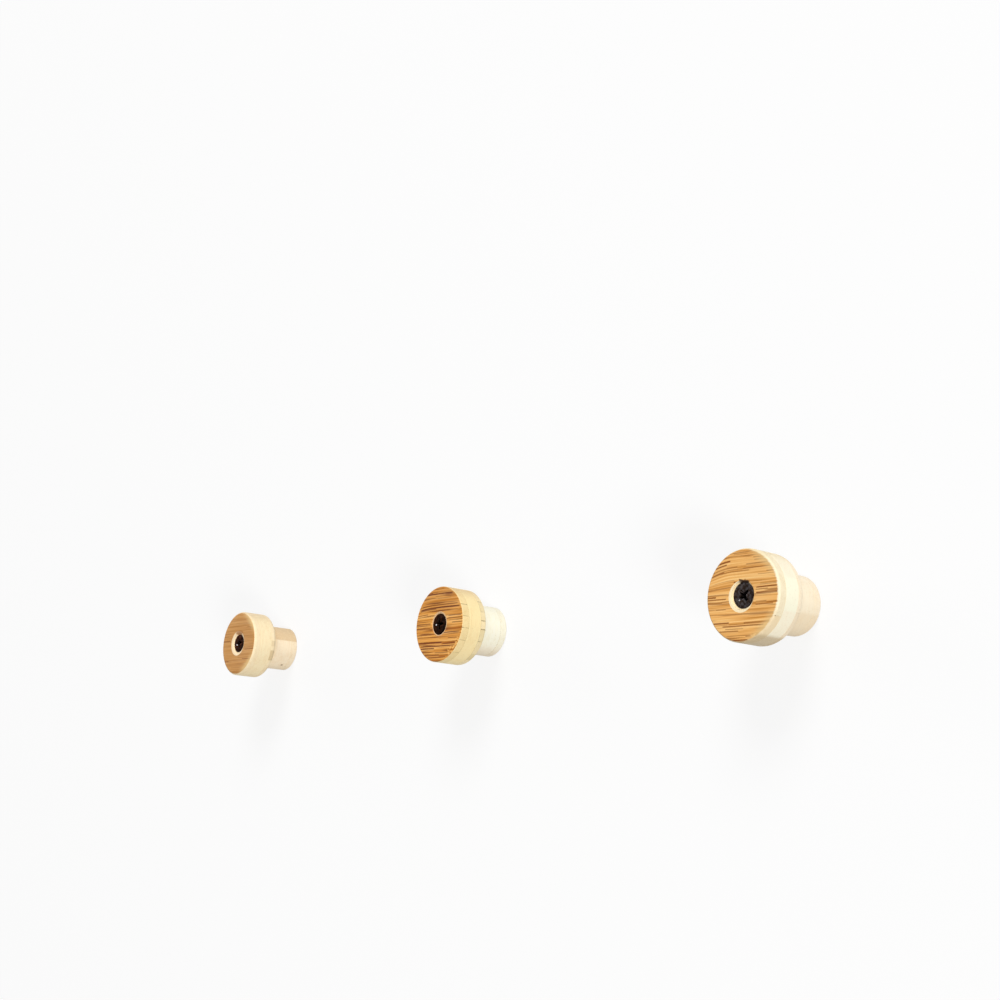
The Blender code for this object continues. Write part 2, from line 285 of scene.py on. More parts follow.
# What differs from peg to peg on the face. Each row is for the left, the middle and the right peg
FACE_ROWS = {
    # Colours of the wood, of its lines and of the bare wood, and of the top of the hole: painted shade, with
    # dark torn fibres on the right peg
    "light": (srgb(214, 162, 97), srgb(249, 190, 108), srgb(252, 206, 136)),
    "middle": (srgb(200, 144, 79), srgb(224, 154, 66), srgb(239, 180, 104)),
    "dark": (srgb(170, 114, 54), srgb(178, 104, 26), srgb(198, 132, 56)),
    "line": (srgb(138, 80, 30), srgb(104, 44, 3), srgb(134, 72, 20)),
    "bore": (srgb(248, 222, 184), srgb(226, 180, 144), srgb(250, 229, 186)),
    "shade_and_tear_colour": (srgb(166, 106, 42), SHADE_AND_TEAR_BROWN, SHADE_AND_TEAR_BROWN),
    # The mean tone, and how strongly the fibres and the thin lines show
    "tone": (0.54, 0.49, 0.51),
    "contrast": (0.55, 0.95, 0.8),
    "thin": (0.3, 0.8, 0.65),
    # How far the fibres dip towards the left rim
    "dip": (0.0, 0.01, 0.022),
    # How far the amber fades at the right, and how wide the rim is bare there
    "fade": (0.9, 0.0, 0.85),
    "bare": (0.5, 0.0, 0.7),
    # How near the hole the oil reached, and where the middle of that bare ring lies
    "oiled_from": (5.75, 4.72, 5.05),
    "ring": ((-0.5, 0.0, 0.0), (0.15, 0.0, 0.12), (-0.42, 0.0, -0.38)),
    "seed": (11.0, 27.0, 45.0),
    # Torn fibres round the hole: angle, and how far they reach in
    "fray": (
        ((96.0, 0.00018), (118.0, 0.00012)),
        (),
        ((92.0, 0.00042), (101.0, 0.0003), (113.0, 0.0004), (131.0, 0.00022), (281.0, 0.00034)),
    ),
    # Ellipses in millimetres: x, z, half length, half height and strength. Torn ones have no strength
    # Painted shade on the upper wall of the hole, where light from above doesn't reach; on the right peg it
    # also marks dark torn fibres
    "shade_and_tear": (
        ((0.3, 4.95, 3.8, 1.25, 0.8),),
        (),
        ((0.5, 4.25, 2.6, 0.6, 1.0), (-0.6, 4.75, 0.9, 0.32, 0.9)),
    ),
    "deep": ((), ((-1.0, 10.3, 15.0, 6.0, 0.38),), ()),
    "spots": (
        (),
        (),
        (
            (-11.2, 9.5, 0.6, 0.22, 0.85), (-12.3, 7.9, 0.8, 0.28, 0.95), (-12.9, 6.5, 0.5, 0.2, 0.75),
            (-3.3, 4.3, 0.4, 0.28, 0.9), (-1.2, 5.05, 0.5, 0.2, 0.85), (1.0, 4.95, 0.4, 0.18, 0.6),
            (0.9, -5.25, 0.35, 0.22, 0.85),
        ),
    ),
    "torn": ((), ((9.3, -10.8, 3.4, 2.3), (12.2, -7.4, 1.5, 2.2)), ((6.5, -12.9, 3.0, 1.0),)),
}
FACES = {peg: {key: row[index] for key, row in FACE_ROWS.items()} for index, peg in enumerate(PEGS)}
FADE_YELLOW = srgb(228, 192, 132)

# Bold grain lines of each face: height, left end, right end, thickness and darkness
GRAIN_LINES = {
    "left": (
        (11.0, -4.0, 6.0, 0.3, 0.25), (9.0, -7.0, 3.0, 0.3, 0.25), (7.4, 7.0, 12.0, 0.35, 0.5),
        (6.9, 9.5, 14.0, 0.35, 0.6), (4.8, -14.0, -7.0, 0.35, 0.45), (3.4, -14.5, -9.0, 0.35, 0.5),
        (1.2, -14.9, -7.2, 0.45, 0.85), (-1.9, 9.5, 14.5, 0.35, 0.5), (-3.1, 5.8, 14.9, 0.42, 0.8),
        (-4.7, -12.0, -3.5, 0.3, 0.35), (-7.6, 4.5, 13.0, 0.4, 0.8), (-8.2, -5.0, 0.0, 0.3, 0.4),
        (-8.5, -12.6, -7.4, 0.5, 0.95), (-10.0, 2.0, 9.0, 0.3, 0.3), (-11.5, -5.0, 4.0, 0.3, 0.3),
    ),
    "middle": (
        (14.0, -4.0, 2.0, 0.3, 0.45), (12.5, -9.0, -5.0, 0.35, 0.6), (12.1, -9.3, 8.2, 0.5, 1.0),
        (11.2, -3.5, 5.5, 0.3, 0.3), (10.3, -2.0, 7.0, 0.3, 0.4), (7.7, -12.6, 12.2, 0.42, 0.8),
        (6.6, -13.4, 13.6, 0.6, 1.0), (6.1, -13.0, -2.0, 0.4, 0.8), (5.3, -4.0, 12.2, 0.3, 0.45),
        (4.2, -14.2, -7.5, 0.38, 0.75), (3.3, -14.5, -5.0, 0.35, 0.6), (3.0, 5.4, 14.0, 0.35, 0.7),
        (2.1, 5.4, 14.5, 0.35, 0.65), (1.2, 6.0, 14.8, 0.3, 0.5), (0.3, -14.9, -5.2, 0.45, 0.9),
        (0.3, 8.0, 14.9, 0.38, 0.7), (-0.4, -14.9, -5.2, 0.3, 0.6), (-1.5, -14.8, -5.2, 0.38, 0.75),
        (-2.3, 5.4, 14.0, 0.3, 0.4), (-3.5, -3.5, 14.0, 0.42, 0.9), (-4.1, -14.3, -4.0, 0.38, 0.7),
        (-5.1, -13.8, 1.0, 0.33, 0.6), (-5.7, 6.0, 13.2, 0.35, 0.65), (-7.3, -12.9, 3.0, 0.55, 1.0),
        (-7.9, 3.0, 11.8, 0.38, 0.8), (-8.8, -11.8, 11.4, 0.45, 0.95), (-9.6, -11.2, -2.0, 0.5, 1.0),
        (-11.3, -2.0, 8.2, 0.35, 0.65), (-12.2, -8.4, 1.5, 0.42, 0.8), (-13.1, -6.5, 5.5, 0.4, 0.75),
    ),
    "right": (
        (13.2, -4.0, 2.0, 0.3, 0.35), (11.7, 4.0, 9.0, 0.35, 0.55), (11.2, -11.5, -5.0, 0.5, 0.95),
        (10.8, 4.5, 9.5, 0.35, 0.6), (10.3, -11.8, -6.5, 0.45, 0.85), (9.7, 1.0, 10.5, 0.4, 0.7),
        (9.2, -12.0, -2.0, 0.35, 0.6), (8.5, -0.5, 11.8, 0.35, 0.7), (8.1, -13.2, -7.5, 0.45, 0.8),
        (7.8, -9.5, 3.0, 0.35, 0.55), (7.0, 9.5, 12.8, 0.35, 0.6), (6.2, 6.0, 13.2, 0.3, 0.4),
        (4.9, -12.0, -3.0, 0.3, 0.4), (3.2, 7.0, 14.0, 0.35, 0.4), (2.1, 5.4, 14.3, 0.42, 0.95),
        (1.4, 5.3, 10.5, 0.35, 0.7), (0.4, 5.3, 14.6, 0.45, 1.0), (-0.1, 5.3, 12.0, 0.3, 0.5),
        (-0.1, -14.8, -10.8, 0.45, 0.95), (-0.8, -14.8, -6.4, 0.4, 0.8), (-1.9, -14.7, -8.0, 0.35, 0.7),
        (-2.4, 5.5, 10.0, 0.35, 0.6), (-3.3, 5.2, 12.8, 0.35, 0.7), (-4.1, -11.0, -6.5, 0.35, 0.6),
        (-5.8, 3.0, 11.0, 0.3, 0.35), (-8.5, -12.0, -5.0, 0.45, 0.9), (-8.8, 0.5, 11.8, 0.4, 0.75),
        (-9.7, -8.5, 9.5, 0.42, 0.85), (-10.6, -7.0, 1.0, 0.35, 0.6), (-11.3, -9.6, -1.0, 0.4, 0.7),
        (-13.1, 1.5, 6.5, 0.35, 0.6), (-14.2, -4.0, 2.8, 0.45, 0.95),
    ),
}

# Each screw's finish: its darker and lighter tones, and how strongly a painted highlight shows on one wing.
# The
# tones also hold painted shade and sheen: darker on the left and middle screws, lighter and bluish on the
# right one
SCREW_FINISH_AND_SHEEN = {
    "left": {"dark": srgb(20, 15, 15), "light": srgb(46, 36, 36), "painted_glint": 0.9},
    "middle": {"dark": srgb(18, 13, 12), "light": srgb(40, 29, 26), "painted_glint": 0.9},
    "right": {"dark": srgb(40, 31, 26), "light": srgb(68, 64, 65), "painted_glint": 0.25},
}
# Place and radius, in millimetres, of the painted highlight at the end of one wing, and its colour
GLINT_PLACE = (-2.15, 0.1, 0.0)
GLINT_RADIUS = 0.34
GLINT_WHITE = srgb(236, 238, 242)

# Pale plies of each peg
OLIVE = srgb(200, 184, 132)
TAN = srgb(214, 188, 142)

# Stains and painted shade that all plies of a head or a stem share, by height: from, to, colour, strength and
# softness
# The bands at the tops of the heads, under the middle stem and under the right head are painted shade; the
# left stem's tan band is a stain, and the right stem's band makes it darker towards the bottom
STAINS_AND_SHADE = {
    "left": {
        "head": ((12.0, 19.0, srgb(238, 212, 174), 0.6, 2.5),),
        "stem": ((3.1, 11.0, srgb(222, 191, 146), 0.85, 0.2),),
    },
    "middle": {
        "head": ((12.0, 19.0, srgb(232, 200, 148), 0.7, 2.5),),
        "stem": ((-14.0, -7.4, srgb(234, 212, 182), 0.6, 2.2),),
    },
    "right": {
        "head": (
            (12.0, 19.0, srgb(246, 224, 178), 0.85, 2.5),
            (-18.0, -12.8, srgb(188, 166, 128), 0.72, 0.6),
        ),
        "stem": ((-14.0, -3.8, srgb(236, 212, 174), 0.55, 0.8),),
    },
}
PLIES = {
    "left": {
        "head_front": wood(251, 230, 190, 7),
        "head_core": wood(252, 232, 190, 7),
        "head_back": wood(
            251, 230, 190, 8,
            bands=(
                (-1.0, 1.6, TAN, 0.5), (-2.9, -1.0, TAN, 0.15),
                (-7.4, -2.9, TAN, 0.85), (-12.6, -10.8, TAN, 0.25),
            ),
            ticks=((-7.4, 0.3, 0.35),),
        ),
        "stem_front": wood(252, 232, 198, 7),
        "stem_core": wood(
            252, 232, 200, 7,
            spots=((5.6, -5.2, -8.3, 0.75, 0.75), (5.2, -4.4, -8.8, 0.45, 0.6)),
        ),
        "stem_back": wood(249, 229, 196, 8),
    },
    "middle": {
        "head_front": wood(
            247, 222, 166, 8,
            bands=((2.5, 7.2, OLIVE, 0.12), (-6.8, -2.1, OLIVE, 0.08), (-15.5, -11.4, OLIVE, 0.12)),
            ticks=(
                (7.2, 0.34, 0.7), (2.5, 0.3, 0.5), (-2.1, 0.38, 0.85),
                (-6.8, 0.3, 0.45), (-11.4, 0.28, 0.3),
            ),
        ),
        "head_core": wood(253, 230, 175, 6),
        "head_back": wood(
            248, 228, 182, 8,
            bands=(
                (5.2, 9.3, OLIVE, 0.28), (1.6, 5.2, OLIVE, 0.12), (-6.5, -1.8, OLIVE, 0.28),
                (-11.0, -6.5, OLIVE, 0.16), (-13.4, -11.0, OLIVE, 0.5),
            ),
            ticks=(
                (9.3, 0.34, 0.55), (5.2, 0.3, 0.35), (1.6, 0.42, 0.85),
                (-1.8, 0.42, 0.85), (-6.5, 0.34, 0.55),
            ),
        ),
        "stem_front": wood(253, 248, 225, 6),
        "stem_core": wood(253, 249, 227, 6),
        "stem_back": wood(252, 246, 222, 7),
    },
    "right": {
        "head_front": wood(
            247, 233, 200, 7,
            bands=((-15.5, -7.2, srgb(238, 206, 156), 0.5),),
            ticks=((-7.2, 0.28, 0.15),),
            spots=((13.1, -26.1, -7.3, 0.3, 0.7),),
        ),
        "head_core": wood(
            253, 243, 217, 5,
            bands=((14.0, 15.5, srgb(253, 250, 224), 0.95), (-15.5, 7.5, srgb(246, 228, 198), 0.7)),
        ),
        "head_back": wood(
            250, 234, 206, 7,
            bands=((-15.5, -5.3, srgb(232, 211, 178), 0.5),),
            ticks=((-5.3, 0.28, 0.15),),
        ),
        "stem_front": wood(252, 236, 208, 6),
        "stem_core": wood(252, 237, 209, 6),
        "stem_back": wood(251, 234, 205, 7),
    },
}
JOINT_BROWN = srgb(138, 116, 70)
SPOT_BROWN = srgb(128, 98, 62)
PLUG_GREYS = (srgb(166, 168, 170), srgb(184, 186, 187))
GLUES = {
    "left": (srgb(246, 224, 182), srgb(238, 214, 170)),
    "middle": (srgb(198, 178, 122), srgb(166, 146, 94)),
    "right": (srgb(246, 230, 194), srgb(236, 218, 180)),
}


class Tree:
    """Short calls that add nodes to a material or to the world."""

    def __init__(self, owner):
        owner.use_nodes = True
        self.owner = owner
        self.nodes = owner.node_tree.nodes
        self.links = owner.node_tree.links

    def feed(self, socket, value):
        """Link a socket, or set it to a value. None leaves it as it is."""
        if isinstance(value, bpy.types.NodeSocket):
            self.links.new(value, socket)
        elif value is not None:
            socket.default_value = value

    def node(self, kind, *inputs, **settings):
        """Add a node with its settings, and feed its inputs in their order."""
        made = self.nodes.new("ShaderNode" + kind)
        for key, value in settings.items():
            setattr(made, key, value)
        for socket, value in zip(made.inputs, inputs):
            self.feed(socket, value)
        return made

    def math(self, operation, *values):
        return self.node("Math", *values, operation=operation).outputs[0]

    def plus(self, first, second):
        return self.math("ADD", first, second)

    def minus(self, first, second):
        return self.math("SUBTRACT", first, second)

    def times(self, first, second):
        return self.math("MULTIPLY", first, second)

    def most(self, first, second):
        return self.math("MAXIMUM", first, second)

    def apart(self, first, second):
        return self.math("ABSOLUTE", self.minus(first, second))

    def vector(self, operation, *values):
        return self.node("VectorMath", *values, operation=operation).outputs[0]

    def combine(self, x, y, z):
        return self.node("CombineXYZ", x, y, z).outputs[0]

    def length(self, vector):
        return self.node("VectorMath", vector, operation="LENGTH").outputs["Value"]

    def noise(self, vector, scale, detail):
        return self.node("TexNoise", vector, None, scale, detail).outputs[0]

    def ramp(self, value, low, high, to_low=0.0, to_high=1.0):
        """A smooth step from one value, up to low, to another, from high on."""
        made = self.node("MapRange", value, low, high, to_low, to_high, interpolation_type="SMOOTHSTEP")
        return made.outputs[0]

    def mix(self, factor, first, second):
        made = self.node("Mix", factor, data_type="RGBA", blend_type="MIX")
        self.feed(made.inputs[6], first)
        self.feed(made.inputs[7], second)
        return made.outputs[2]

    def finish(self, colour, roughness, height, depth, specular=0.5):
        """Feed the shader: colour, roughness, a bump that is so many metres deep, and its specular level."""
        shader = self.nodes["Principled BSDF"]
        self.feed(shader.inputs["Base Color"], colour)
        self.feed(shader.inputs["Roughness"], roughness)
        shader.inputs["Specular IOR Level"].default_value = specular
        bump = self.node("Bump")
        bump.inputs["Strength"].default_value = 1.0
        bump.inputs["Distance"].default_value = depth
        self.feed(bump.inputs["Height"], height)
        self.feed(shader.inputs["Normal"], bump.outputs[0])
        return self.owner


def material_tree(name):
    """The node tree of a new material."""
    return Tree(bpy.data.materials.new(name))


def millimetres(tree):
    """Place in millimetres from the piece's own origin."""
    return tree.vector("MULTIPLY", tree.node("TexCoord").outputs["Object"], (MILLIMETRES,) * 3)


def peg_place(tree):
    """Place in millimetres from the peg's axis and the wall, as three values."""
    return tree.node("SeparateXYZ", millimetres(tree)).outputs


def bent(tree, along, through, across, seed):
    """Height across the fibres, bent a little as fibres are."""
    broad = tree.combine(tree.math("MULTIPLY_ADD", along, BEND_ALONG, seed), through, across)
    wave = tree.noise(tree.vector("MULTIPLY", broad, BEND_SCALES), scale=1.0, detail=1.0)
    bend = tree.minus(wave, 0.5)
    return tree.math("MULTIPLY_ADD", bend, FIBRE_BEND, across)


def fibres(tree, along, through, across, seed, kind):
    """Noise drawn out along the fibres, between 0 and 1."""
    offset, stretch, scale, detail = kind
    shifted = tree.math("MULTIPLY_ADD", along, stretch, seed + offset)
    return tree.noise(tree.combine(shifted, through, across), scale, detail)


def tone_colour(tree, value, tones):
    """From the dark to the light tone of one wood, over 0 to 1."""
    made = tree.node("ValToRGB", value)
    stops = made.color_ramp.elements
    stops[0].position, stops[0].color = 0.0, tones["dark"]
    stops[1].position, stops[1].color = 1.0, tones["light"]
    middle = stops.new(MIDDLE_TONE)
    middle.color = tones["middle"]
    return made.outputs[0]


def spread_noise(tree, value, share):
    """Noise about its mean of a half, spread by a share."""
    return tree.math("MULTIPLY_ADD", value, share, -0.5 * share)


def spread_sum(tree, values, shares):
    """Several noises, each spread by its share, added up."""
    total = 0.0
    for value, share in zip(values, shares):
        total = tree.plus(total, spread_noise(tree, value, share))
    return total


def ellipse(tree, across_x, across_z, x, z, half_length, half_height, strength):
    """1 in the middle of an ellipse and 0 outside it, times a strength."""
    dx = tree.times(tree.minus(across_x, x), 1.0 / half_length)
    dz = tree.times(tree.minus(across_z, z), 1.0 / half_height)
    square = tree.plus(tree.times(dx, dx), tree.times(dz, dz))
    return tree.ramp(square, *ELLIPSE_EDGE, strength, 0.0)


def grain_masks(tree, along, across, lines, seed):
    """Masks of the bold grain lines of a face, and of a painted highlight: a light edge just below each line.
    """
    slow = tree.combine(tree.times(along, BEND_ALONG), seed, tree.times(across, LINE_BEND_ACROSS))
    wave = tree.noise(slow, scale=1.0, detail=1.0)
    wavy = tree.math("MULTIPLY_ADD", wave, LINE_BEND, tree.minus(across, 0.5 * LINE_BEND))
    vary = tree.ramp(fibres(tree, along, 0.0, across, seed, LINE_WEIGHT), *LINE_BREAKS)
    dark, painted_highlight = 0.0, 0.0
    for height, left, right, thickness, darkness in lines:
        off = tree.minus(wavy, height)
        core, edge = (thickness * share for share in LINE_EDGE)
        line = tree.ramp(tree.math("ABSOLUTE", off), core, edge, darkness, 0.0)
        below = tree.math("ABSOLUTE", tree.plus(off, thickness * HIGHLIGHT_BELOW))
        core, edge = (thickness * share for share in HIGHLIGHT_EDGE)
        light = tree.ramp(below, core, edge, darkness, 0.0)
        half = (right - left) / 2.0
        ahead = tree.apart(along, (left + right) / 2.0)
        length = tree.ramp(ahead, half * LINE_END, half, 1.0, 0.0)
        dark = tree.most(dark, tree.times(line, length))
        painted_highlight = tree.most(painted_highlight, tree.times(light, length))
    return tree.times(dark, vary), tree.times(painted_highlight, vary)


def ply_look(peg, part):
    """Look of a ply, with the stains and painted shade that all plies of its head or stem share."""
    return {**PLIES[peg][part], "stains_and_shade": STAINS_AND_SHADE[peg][part.split("_")[0]]}


def pale_colour(tree, look, place, upright, seed):
    """Colour of a rim or stem: fine fibres, strips of unlike tone, short joint ticks and spots."""
    x, y, z = place
    along, straight = (z, x) if upright else (x, z)
    across = bent(tree, along, y, straight, seed)
    fine = fibres(tree, along, y, across, seed, PALE_FINE)
    broad = fibres(tree, along, y, across, seed, PALE_BROAD)
    value = spread_sum(tree, (fine, broad), PALE_SPREADS)
    colour = tone_colour(tree, tree.plus(value, MIDDLE_TONE), look)
    strips = [(straight, (*band, BAND_SOFTNESS)) for band in look["bands"]]
    # Bands by height: stains, and painted shade at the tops and the undersides
    strips += [(z, stain_and_shade) for stain_and_shade in look["stains_and_shade"]]
    for measured, (low, high, shade, strength, soft) in strips:
        inside = tree.ramp(measured, low - soft, low + soft, 0.0, strength)
        inside = tree.times(inside, tree.ramp(measured, high - soft, high + soft, 1.0, 0.0))
        inside = tree.times(inside, tree.ramp(fine, *BAND_BREAKS))
        colour = tree.mix(inside, colour, shade)
    partial = tree.noise(tree.combine(seed, y, tree.times(straight, 0.5)), scale=0.6, detail=1.0)
    partial = tree.ramp(partial, *TICK_BREAKS)
    dips = 0.0
    for height, thickness, darkness in look["ticks"]:
        off = tree.apart(straight, height)
        core, edge = (thickness * share for share in TICK_EDGE)
        line = tree.times(tree.ramp(off, core, edge, darkness, 0.0), partial)
        colour = tree.mix(line, colour, JOINT_BROWN)
        dips = tree.most(dips, line)
    specks = tree.ramp(fibres(tree, along, y, across, seed, PALE_SPECKS), *SPECK_STEP)
    colour = tree.mix(specks, colour, JOINT_BROWN)
    for spot_x, spot_y, spot_z, radius, darkness in look["spots"]:
        away = tree.length(tree.vector("SUBTRACT", tree.combine(x, y, z), (spot_x, spot_y, spot_z)))
        ragged = tree.plus(away, spread_noise(tree, fine, SPOT_RAGGED * radius))
        colour = tree.mix(tree.ramp(ragged, radius * SPOT_CORE, radius, darkness, 0.0), colour, SPOT_BROWN)
    height = tree.minus(fine, tree.most(specks, dips))
    return colour, fine, tree.times(height, PALE_SHARE)


def pale_wood(name, look, upright, seed):
    """Material of a core ply, a back ply or a stem ply."""
    tree = material_tree(name)
    colour, fine, height = pale_colour(tree, look, peg_place(tree), upright, seed)
    return tree.finish(colour, tree.ramp(fine, *RIM_ROUGHNESS), height, WOOD_RELIEF, RIM_SPECULAR)


def amber_face(tree, peg, place):
    """Colour of the flat face, with level grain, and the mask of its dark lines."""
    look = FACES[peg]
    seed = look["seed"]
    x, y, z = place
    left_of = tree.most(tree.minus(DIP_FROM, x), 0.0)
    dip = tree.ramp(z, *DIP_HEIGHT, 0.0, look["dip"])
    dip = tree.times(tree.times(left_of, left_of), dip)
    across = bent(tree, x, y, tree.plus(z, dip), seed)
    kinds = (FACE_FINE, FACE_BROAD, FACE_SHORT, FACE_CONTOUR)
    fine, broad, short, contour = (fibres(tree, x, y, across, seed, kind) for kind in kinds)
    value = spread_sum(tree, (fine, broad, short), FACE_SPREADS)
    colour = tone_colour(tree, tree.math("MULTIPLY_ADD", value, look["contrast"], look["tone"]), look)

    ridge = tree.apart(contour, 0.5)
    thin = tree.times(tree.ramp(ridge, *THIN_LINE), tree.ramp(short, *THIN_BREAKS))
    bold, painted_highlight = grain_masks(tree, x, across, GRAIN_LINES[peg], seed)
    # Painted highlight: a light edge just below each bold line, as if the lines stood in relief
    colour = tree.mix(tree.times(painted_highlight, HIGHLIGHT_SHARE), colour, look["light"])
    for deep in look["deep"]:
        colour = tree.mix(ellipse(tree, x, z, *deep), colour, look["dark"])
    marks = tree.most(bold, tree.times(thin, look["thin"]))
    for spot in look["spots"]:
        marks = tree.most(marks, ellipse(tree, x, z, *spot))
    colour = tree.mix(marks, colour, look["line"])
    if look["torn"]:
        rough = tree.noise(tree.combine(tree.times(x, 0.7), seed, z), scale=1.3, detail=1.0)
        chips = tone_colour(tree, tree.plus(spread_noise(tree, rough, CHIP_RAGGED), 0.5), look)
        for patch in look["torn"]:
            colour = tree.mix(ellipse(tree, x, z, *patch, CHIP_SHARE), colour, chips)
    if look["fade"]:
        reach = tree.plus(tree.length(tree.combine(x, 0.0, z)), spread_noise(tree, short, FADE_RAGGED))
        off_level = tree.ramp(tree.math("ABSOLUTE", z), *FADE_HEIGHT)
        share = tree.times(tree.ramp(x, *FADE_SIDE), off_level)
        share = tree.times(share, tree.ramp(reach, *FADE_REACH, 0.0, look["fade"]))
        colour = tree.mix(share, colour, FADE_YELLOW)
    return colour, fine, marks


def face_wood(name, peg):
    """Front ply: amber face, and a pale rim and hole where the cut goes through it."""
    look = FACES[peg]
    tree = material_tree(name)
    place = peg_place(tree)
    face, fine, marks = amber_face(tree, peg, place)
    rim, rim_fine, rim_height = pale_colour(
        tree, ply_look(peg, "head_front"), place, False, look["seed"] + 7.0
    )
    from_axis = tree.combine(place[0], 0.0, place[2])
    away = tree.length(from_axis)
    from_ring = tree.length(tree.vector("SUBTRACT", from_axis, look["ring"]))
    bare_to = look["oiled_from"]
    in_hole = tree.ramp(from_ring, bare_to, bare_to + RING_SOFTNESS, 1.0, 0.0)
    rim_share = tree.plus(spread_noise(tree, rim_fine, BORE_RAGGED), BORE_SHARE)
    rim = tree.mix(in_hole, rim, tree.mix(rim_share, look["bore"], rim))
    normal = tree.node("SeparateXYZ", tree.node("TexCoord").outputs["Normal"]).outputs[1]
    flat = tree.minus(spread_noise(tree, fine, FLAT_RAGGED), normal)
    oiled = tree.most(tree.ramp(flat, *FLAT_STEP), tree.ramp(away, *NEAR_HOLE, 1.0, 0.0))
    on_face = tree.times(oiled, tree.minus(1.0, in_hole))
    ragged = tree.plus(away, spread_noise(tree, fine, RIM_RAGGED))
    bare = tree.plus(ragged, tree.ramp(place[0], *BARE_SIDE, 0.0, look["bare"]))
    radius = ply_size(peg + "_head_front_ply")[1] * MILLIMETRES
    inner, outer = (radius + end for end in AMBER_ENDS)
    on_face = tree.times(on_face, tree.ramp(bare, inner, outer, 1.0, 0.0))
    colour = tree.mix(on_face, rim, face)
    # Painted shade at the top of the hole, with dark torn fibres there on the right peg
    for shade_and_tear in look["shade_and_tear"]:
        colour = tree.mix(ellipse(tree, place[0], place[2], *shade_and_tear), colour, look["shade_and_tear_colour"])
    cut = tree.times(marks, MARK_SHARE)
    height = tree.minus(tree.times(fine, FIBRE_SHARE), cut)
    rim_height = tree.times(rim_height, RIM_SHARE)
    height = tree.plus(tree.times(height, on_face), rim_height)
    return tree.finish(colour, tree.ramp(fine, *FACE_ROUGHNESS), height, WOOD_RELIEF, FACE_SPECULAR)


def glue_material(peg):
    """Thin line of glue between two plies."""
    tree = material_tree(peg + "_glue_line")
    mottle = tree.noise(millimetres(tree), scale=0.8, detail=2.0)
    colour = tree.mix(tree.ramp(mottle, 0.35, 0.65), *GLUES[peg])
    return tree.finish(colour, roughness=0.55, height=mottle, depth=0.00002, specular=RIM_SPECULAR)


def screw_material(peg):
    """Black finish of the screw: slightly mottled, with a painted highlight on one wing of the recess, drawn
    as bright steel.
    """
    look = SCREW_FINISH_AND_SHEEN[peg]
    tree = material_tree(peg + "_black_phosphate")
    place = millimetres(tree)
    mottle = tree.noise(place, scale=0.9, detail=3.0)
    grit = tree.noise(place, scale=14.0, detail=2.0)
    colour = tree.mix(tree.ramp(mottle, 0.4, 0.62), look["dark"], look["light"])
    # Painted highlight: a bright steel spot at one wing's end, where a lamp would glint
    away = tree.length(tree.vector("SUBTRACT", place, GLINT_PLACE))
    glint = tree.ramp(away, GLINT_RADIUS * SPOT_CORE, GLINT_RADIUS, look["painted_glint"], 0.0)
    colour = tree.mix(glint, colour, GLINT_WHITE)
    shader = tree.nodes["Principled BSDF"]
    shader.inputs["Metallic"].default_value = 1.0
    shader.inputs["Specular Tint"].default_value = (0.62, 0.5, 0.46, 1.0)
    roughness = tree.ramp(grit, *SCREW_ROUGHNESS)
    return tree.finish(colour, roughness, grit, depth=0.000006, specular=SCREW_SPECULAR)


def plug_material():
    """Moulded nylon: nearly even grey, with a fine mould grain."""
    tree = material_tree("moulded_nylon")
    place = millimetres(tree)
    cloud = tree.noise(place, scale=0.35, detail=3.0)
    grain = tree.noise(place, scale=9.0, detail=2.0)
    colour = tree.mix(cloud, *PLUG_GREYS)
    return tree.finish(colour, tree.ramp(grain, *PLUG_ROUGHNESS), grain, depth=0.00001)


def ply_size(node):
    """Where a ply's axis is, its radius, and its front and back along Y, from its CAD node."""
    low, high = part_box(node)
    return (low.x + high.x) / 2.0, (high.x - low.x) / 2.0, low.y, high.y


def ledge_place(peg):
    """Where along Y the ledge round the screw's head lies."""
    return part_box(peg + "_screw")[0].y + LEDGE_BELOW_HEAD


def worn_depth(peg):
    """How far the worn edge of a hole goes into it: no deeper than the ledge."""
    return min(EDGES[peg]["hole"], ledge_place(peg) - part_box(peg + "_head_front_ply")[0].y)


def bore_outline(front, back, peg):
    """Points (radius, Y) along the drilled hole, from a ply's back to its front."""
    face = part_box(peg + "_head_front_ply")[0].y
    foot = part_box(peg + "_stem_back_ply")[1].y
    ledge = ledge_place(peg)
    screw_low, screw_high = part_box(peg + "_screw")
    seat_radius = (screw_high.x - screw_low.x) / 2.0 + SCREW_GAP
    seat = screw_low.y + SCREW_RIM + SCREW_GAP
    edge, depth = EDGES[peg]["hole"], worn_depth(peg)
    whole = []
    for step in range(HOLE_EDGE_STEPS + 1):
        turn = math.radians(90.0 * step / HOLE_EDGE_STEPS)
        whole.append((
            COUNTERBORE_RADIUS + edge * (1.0 - math.sin(turn)),
            face + depth * (1.0 - math.cos(turn)),
        ))
    whole += [
        (COUNTERBORE_RADIUS, ledge),
        (seat_radius, ledge),
        (seat_radius, seat),
        (HOLE_RADIUS, seat + seat_radius - HOLE_RADIUS),
        (HOLE_RADIUS, foot - RELIEF_DEPTH),
        (RELIEF_RADIUS, foot - RELIEF_DEPTH),
        (RELIEF_RADIUS, foot),
    ]
    cut = []
    for (r0, y0), (r1, y1) in zip(whole, whole[1:]):
        if y1 < front or y0 > back:
            continue
        for r, y in ((r0, y0), (r1, y1)):
            kept = min(max(y, front), back)
            if y1 > y0:
                r = r0 + (r1 - r0) * (kept - y0) / (y1 - y0)
            if not cut or math.dist(cut[-1], (r, kept)) > MERGE:
                cut.append((r, kept))
    return cut[::-1]


